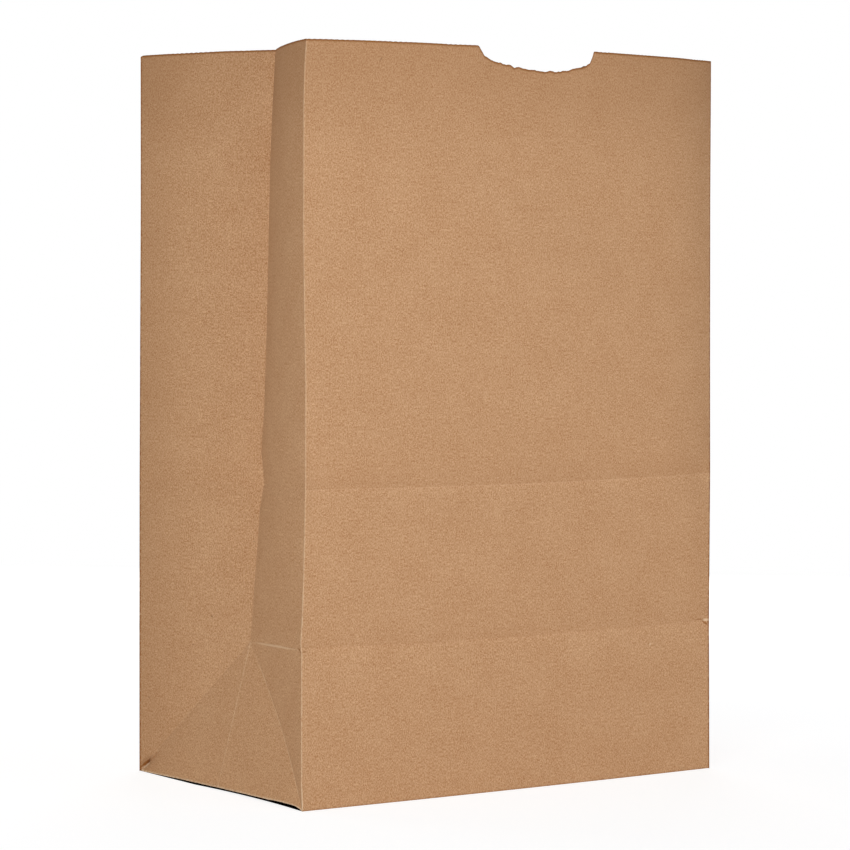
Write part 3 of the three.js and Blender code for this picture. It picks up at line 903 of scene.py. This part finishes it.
kraft = {
    "colours": {
        "dark": (0.385, 0.183, 0.076, 1),
        "light": (0.652, 0.414, 0.240, 1),
        # the light colour of worn lines, also of the painted highlights
        "wornAndLit": (0.690, 0.500, 0.330, 1),
        "speck": (0.200, 0.105, 0.050, 1),
        "knot": (0.700, 0.520, 0.350, 1),
        # the dark cut edge, also the colour of painted shade in the dark lines and marks
        "edge": (0.270, 0.105, 0.030, 1),
        # the colour of the painted shade
        "shaded": (0.330, 0.165, 0.075, 1),
    },
    "weights": {"Cloud": 0.3, "Mottle": 0.4, "Clump": 1.75, "Fibre": 1.05, "Streak": 0.3},
    "shadeMost": 0.3,  # most that the painted shade brings the paper towards the shaded colour
    # Dots by colour: cells to the metre, size in a cell, share of the cells, strength.
    "dots": {"speck": (95, 0.055, 0.10, 0.75), "knot": (120, 0.06, 0.07, 0.6)},
    "lightWidth": {"Fold": 0.9, "Crease": 0.65},  # half width of the light lines, worn ones and the painted highlight, mm
    # the dark lines are painted shade
    "darkWidth": {"Fold": 1.6, "Crease": 0.7},
    "rimDark": (0.5, 1.5),  # the cut edge is dark, fading between these, mm
    "roughness": 0.85,
    "specular": 0.06,
    "relief": 0.06 * mm,
    "reliefStrength": 0.6,
}

# Single marks on the outside: place round the tube and up, half length, half width, all in mm,
# the angle of the length from level in degrees, strength, and the colour of the mark.
backLeft = foldPlace["backLeft"] / mm
frontRight = foldPlace["frontRight"] / mm
frontLeft = girth / mm  # once round, the end of the left side
marks = {
    # The nick: a painted highlight on its light patch, painted shade along its upper and lower sides.
    "nickLight": (frontRight - 2.2, 89.7, 3.0, 1.0, -4, 0.9, "wornAndLit"),
    "nickUpper": (frontRight - 7.4, 90.3, 5.0, 0.55, -4, 0.6, "edge"),
    "nickLower": (frontRight - 2.7, 87.9, 3.2, 0.8, -32, 0.85, "edge"),
    "levelLine": (frontLeft - 44.5, 88.0, 47.0, 0.75, -1.1, 0.6, "wornAndLit"),
    # The tuck: painted shade above its line and a painted highlight on its lip below.
    "tuckShade": (backLeft + 5.5, 7.4, 7.0, 2.0, 38, 0.45, "shaded"),
    "tuckLine": (backLeft + 4.3, 5.1, 6.4, 0.8, 38, 1.0, "edge"),
    "tuckLip": (backLeft + 4.6, 3.6, 4.4, 1.1, 38, 0.85, "wornAndLit"),
    # Painted shade in the pinch where the level crease meets the front left fold.
    "pinch": (frontLeft - 2.8, 87.4, 2.4, 0.9, -20, 0.85, "edge"),
    "pinchDot": (frontLeft - 0.8, 86.0, 1.0, 0.9, 0, 0.85, "edge"),
    "pinchFront": (2.2, 86.6, 1.6, 0.8, 10, 0.6, "edge"),
    "fibre": (44.7, 421.6, 1.6, 0.35, 60, 0.7, "speck"),
    "speckHigh": (backLeft + 58.1, 100.2, 0.8, 0.6, 20, 0.75, "speck"),
    "speckMiddle": (backLeft + 43.5, 82.1, 0.7, 0.5, 0, 0.6, "speck"),
    "speckLow": (backLeft + 7.7, 46.0, 0.7, 0.6, 0, 0.6, "speck"),
    "knotRight": (255.6, 78.0, 1.2, 0.9, 0, 0.5, "knot"),
}

# The paper's outside, inside and cut edge: shift of the pattern, so that they differ, how much
# the light lines and the dark ones show, and the single marks.
sides = {
    "kraftOutside": {"shift": 0.0, "light": 1.0, "dark": 1.0, "marks": marks},
    "kraftInside": {"shift": 3.0, "light": 0.4, "dark": 0.6, "marks": {}},
    "kraftCut": {"shift": 5.0, "light": 0.0, "dark": 1.0, "marks": {}},
}


def drawLines(tree, at, sign, widths):
    # The lines of one sign, the light ones mostly worn and the dark ones painted shade: of the upright
    # folds or the creases, whichever is stronger.
    lines = []
    for kind, width in widths.items():
        distance, mark = (addNode(tree, "ShaderNodeAttribute", attribute_name=name).outputs["Fac"]
                          for name in ("from" + kind, kind.lower() + "Mark"))
        strength = calc(tree, "MAXIMUM", calc(tree, "MULTIPLY", mark, sign), 0)
        lines.append(placeGroup(tree, lineGroup, {
            "Sheet": at, "Distance": distance, "Width": width, "Strength": strength})["Mask"])
    return calc(tree, "MAXIMUM", *lines)


def makeKraft(name, side):
    # Kraft paper seen from one side, in layers: pulp, painted shade, specks, worn lines and lines of
    # painted shade, single marks.
    # The pattern follows the flat sheet.
    material = bpy.data.materials.new(name)
    material.use_nodes = True
    tree = material.node_tree
    shader = tree.nodes["Principled BSDF"]
    colours = kraft["colours"]
    uv = addNode(tree, "ShaderNodeUVMap", uv_map="sheet").outputs[0]
    at = vectorCalc(tree, "ADD", uv, (0, 0, side["shift"]))
    fibre = placeGroup(tree, fibreGroup, {"Sheet": at, **kraft["weights"]})
    colour = blend(tree, fibre["Tone"], colours["dark"], colours["light"])

    def cover(mask, strength, tone):
        return blend(tree, calc(tree, "MULTIPLY", mask, strength), colour, colours[tone])

    # Painted shade, darker where less light falls.
    paintedShade = addNode(tree, "ShaderNodeAttribute", attribute_name="paintedShade").outputs["Fac"]
    colour = cover(paintedShade, kraft["shadeMost"] * side["dark"], "shaded")
    for tone, (scale, size, share, strength) in kraft["dots"].items():
        dots = placeGroup(tree, speckGroup, {"Sheet": at, "Scale": scale, "Size": size, "Share": share})
        colour = cover(dots["Mask"], strength, tone)
    colour = cover(drawLines(tree, at, 1, kraft["lightWidth"]), side["light"], "wornAndLit")
    fromRim = addNode(tree, "ShaderNodeAttribute", attribute_name="fromRim").outputs["Fac"]
    # Dark lines of painted shade along folds and creases, with the dark cut edge.
    dark = calc(tree, "MAXIMUM", drawLines(tree, at, -1, kraft["darkWidth"]), ramp(
        tree, fromRim, *kraft["rimDark"], 1, 0))
    colour = cover(dark, side["dark"], "edge")
    for s, t, length, width, turn, strength, tone in side["marks"].values():
        mark = placeGroup(tree, markGroup, {
            "Sheet": at, "Place": (s * mm, t * mm, 0), "Turn": math.radians(-turn),
            "Size": (length * mm, width * mm, 1)})
        colour = cover(mark["Mask"], strength, tone)
    tree.links.new(colour, shader.inputs["Base Color"])
    shader.inputs["Roughness"].default_value = kraft["roughness"]
    shader.inputs["Specular IOR Level"].default_value = kraft["specular"]
    bump = addNode(tree, "ShaderNodeBump", {
        "Height": fibre["Height"], "Distance": kraft["relief"], "Strength": kraft["reliefStrength"]})
    tree.links.new(bump.outputs[0], shader.inputs["Normal"])
    return material


print("making the kraft")
for name, side in sides.items():
    bagMesh.materials.append(makeKraft(name, side))

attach(bag, "root")
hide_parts("paper_bag")

studio = {
    "floorSize": 8.0,
    "floorDrop": 0.05 * mm,  # the floor lies this far below the base
    "floorColour": (0.83, 0.86, 0.90, 1),
    "paintedShadowColour": (0.01, 0.008, 0.006, 1),
    # Painted shadow: the floor under the bag is dark and gets no glow. Light gets in under the left
    # side's raised edge, most of all a little before its middle, so the dark part bows inwards there as
    # a parabola along y.
    "underMiddle": -33 * mm,
    "underHalf": 58 * mm,
    "underBow": 3.1 * mm,
    "underLeast": 0.1 * mm,
    "underRight": 2.5 * mm,  # it ends this far inside the right fold
    "underEnds": 0.3 * mm,  # and this far inside the front and back
    "glow": 0.815,  # white that the camera sees on the floor beside the bag, before any light
    "litShare": 0.46,  # share of the light on it that it sees as well
    "fade": (0.5, 1.5),  # from here to here both go over to plain white, in metres
    "world": 0.15,
    "lamps": {
        "key": {"at": (-1.5, -1.35, 1.5), "size": (0.9, 0.9), "power": 6.8},
        "lowLeft": {"at": (-1.0, -0.9, 0.14), "size": (0.7, 0.24), "power": 6.4},
        "lowRight": {"at": (0.35, -1.2, 0.14), "size": (0.7, 0.24), "power": 6.3},
        "side": {"at": (-1.1, 0.1, 0.14), "size": (0.7, 0.24), "power": 1.6, "colour": (1, 0.96, 0.88)},
        "rearLeft": {"at": (-0.6, 1.2, 0.9), "size": (0.8, 0.8), "power": 2.5, "colour": (1, 0.96, 0.88)},
        "rearRight": {"at": (0.85, 1.1, 0.22), "size": (0.9, 0.35), "power": 15},
    },
    "lampsAim": (0, 0, 0.2),
}


def underBag(tree, at):
    # 1 on the floor under the bag, where the painted shadow goes. The left side's base line runs a
    # little askew, from the front left corner to the back left one.
    axes = addNode(tree, "ShaderNodeSeparateXYZ", {0: at}).outputs
    first, last = foldLine("frontLeft", np.array(0.0)), foldLine("backLeft", np.array(0.0))
    slope = float((last[0] - first[0]) / (last[1] - first[1]))
    fromSide = calc(tree, "SUBTRACT", calc(tree, "MULTIPLY_ADD", axes[1], -slope, axes[0]),
                    float(first[0] - slope * first[1]))
    bow = studio["underBow"]
    fromMiddle = calc(tree, "SUBTRACT", axes[1], studio["underMiddle"])
    share = calc(tree, "DIVIDE", fromMiddle, studio["underHalf"])
    reach = calc(tree, "MULTIPLY_ADD", calc(tree, "MULTIPLY", share, share), -bow, bow)
    insideLeft = calc(tree, "GREATER_THAN", fromSide, calc(tree, "MAXIMUM", reach, studio["underLeast"]))
    insideRight = calc(tree, "LESS_THAN", axes[0], face / 2 - studio["underRight"])
    insideY = calc(tree, "LESS_THAN", calc(tree, "ABSOLUTE", axes[1]), halfGusset - studio["underEnds"])
    return calc(tree, "MULTIPLY", calc(tree, "MULTIPLY", insideLeft, insideRight), insideY)


def seenPlain(tree):
    # 1 for the camera, and for what it sees by reflection or through glass.
    path = addNode(tree, "ShaderNodeLightPath").outputs
    return calc(tree, "MAXIMUM", path["Is Camera Ray"], calc(
        tree, "MAXIMUM", path["Is Glossy Ray"], path["Is Transmission Ray"]))


def makeFloor():
    # A pale plane. The camera sees it mostly as white, but not under the bag, where a painted shadow makes
    # it dark.
    half, z = studio["floorSize"] / 2, -studio["floorDrop"]
    corners = [(-half, -half, z), (half, -half, z), (half, half, z), (-half, half, z)]
    mesh = bpy.data.meshes.new("floor")
    mesh.from_pydata(corners, [], [(0, 1, 2, 3)])
    floor = bpy.data.objects.new("floor", mesh)
    bpy.context.scene.collection.objects.link(floor)
    material = bpy.data.materials.new("paleFloor")
    material.use_nodes = True
    tree = material.node_tree
    tree.nodes.clear()
    at = addNode(tree, "ShaderNodeTexCoord").outputs["Object"]
    inside = underBag(tree, at)
    seen = seenPlain(tree)
    away = addNode(tree, "ShaderNodeVectorMath", {0: at}, operation="LENGTH").outputs["Value"]
    away = ramp(tree, away, *studio["fade"], 0, 1)
    # What the camera sees: full white far away; near the bag part white and part lit floor.
    glow = calc(tree, "MULTIPLY_ADD", away, 1 - studio["glow"], studio["glow"])
    # No glow under the bag, for the painted shadow.
    glow = calc(tree, "MULTIPLY", calc(tree, "MULTIPLY", glow, seen), calc(tree, "SUBTRACT", 1, inside))
    keep = calc(tree, "MULTIPLY_ADD", away, -studio["litShare"], studio["litShare"])
    dim = calc(tree, "MULTIPLY_ADD", seen, calc(tree, "SUBTRACT", keep, 1), 1)
    shade = blend(tree, dim, (0, 0, 0, 1), studio["floorColour"])
    # Under the bag the floor takes the painted shadow colour.
    dull = addNode(tree, "ShaderNodeBsdfDiffuse", {
        "Color": blend(tree, inside, shade, studio["paintedShadowColour"])})
    white = addNode(tree, "ShaderNodeEmission", {"Color": (1, 1, 1, 1), "Strength": glow})
    mix = addNode(tree, "ShaderNodeAddShader", {0: dull.outputs[0], 1: white.outputs[0]})
    addNode(tree, "ShaderNodeOutputMaterial", {0: mix.outputs[0]}, is_active_output=True)
    mesh.materials.append(material)


def makeWorld():
    # Soft light from all round; the camera sees plain white.
    world = bpy.data.worlds.new("studio")
    bpy.context.scene.world = world
    world.use_nodes = True
    tree = world.node_tree
    tree.nodes.clear()
    soft = addNode(tree, "ShaderNodeBackground", {"Color": (1, 1, 1, 1), "Strength": studio["world"]})
    white = addNode(tree, "ShaderNodeBackground", {"Color": (1, 1, 1, 1), "Strength": 1.0})
    mix = addNode(tree, "ShaderNodeMixShader", {
        0: seenPlain(tree), 1: soft.outputs[0], 2: white.outputs[0]})
    addNode(tree, "ShaderNodeOutputWorld", {0: mix.outputs[0]})


def makeLamps():
    # Rectangular lamps, turned so that they look at the middle of the bag.
    for name, lamp in studio["lamps"].items():
        light = bpy.data.lights.new(name, "AREA")
        light.shape = "RECTANGLE"
        light.size, light.size_y = lamp["size"]
        light.energy = lamp["power"]
        light.color = lamp.get("colour", (1, 1, 1))
        thing = bpy.data.objects.new(name, light)
        thing.location = lamp["at"]
        way = Vector(studio["lampsAim"]) - thing.location
        thing.rotation_euler = way.to_track_quat("-Z", "Y").to_euler()
        bpy.context.scene.collection.objects.link(thing)


view = {
    "at": (-1.1329, -1.5353, 0.2878),
    "turn": (87.678, -0.605, -36.298),  # degrees about x, y and z
    "focalPixels": 3140,  # in a frame 850 pixels wide
    "framePixels": 850,
    "sensor": 36.0,
}


def makeCamera():
    camera = bpy.data.cameras.new("photoView")
    camera.sensor_width = view["sensor"]
    camera.lens = view["focalPixels"] / view["framePixels"] * view["sensor"]
    camera.clip_start, camera.clip_end = 0.05, 50
    thing = bpy.data.objects.new("photoView", camera)
    thing.location = view["at"]
    thing.rotation_euler = [math.radians(angle) for angle in view["turn"]]
    bpy.context.scene.collection.objects.link(thing)
    bpy.context.scene.camera = thing


print("floor, light and camera")
makeFloor()
makeWorld()
makeLamps()
makeCamera()
bpy.context.scene.view_settings.view_transform = "Standard"

bpy.context.view_layer.update()
print("done")
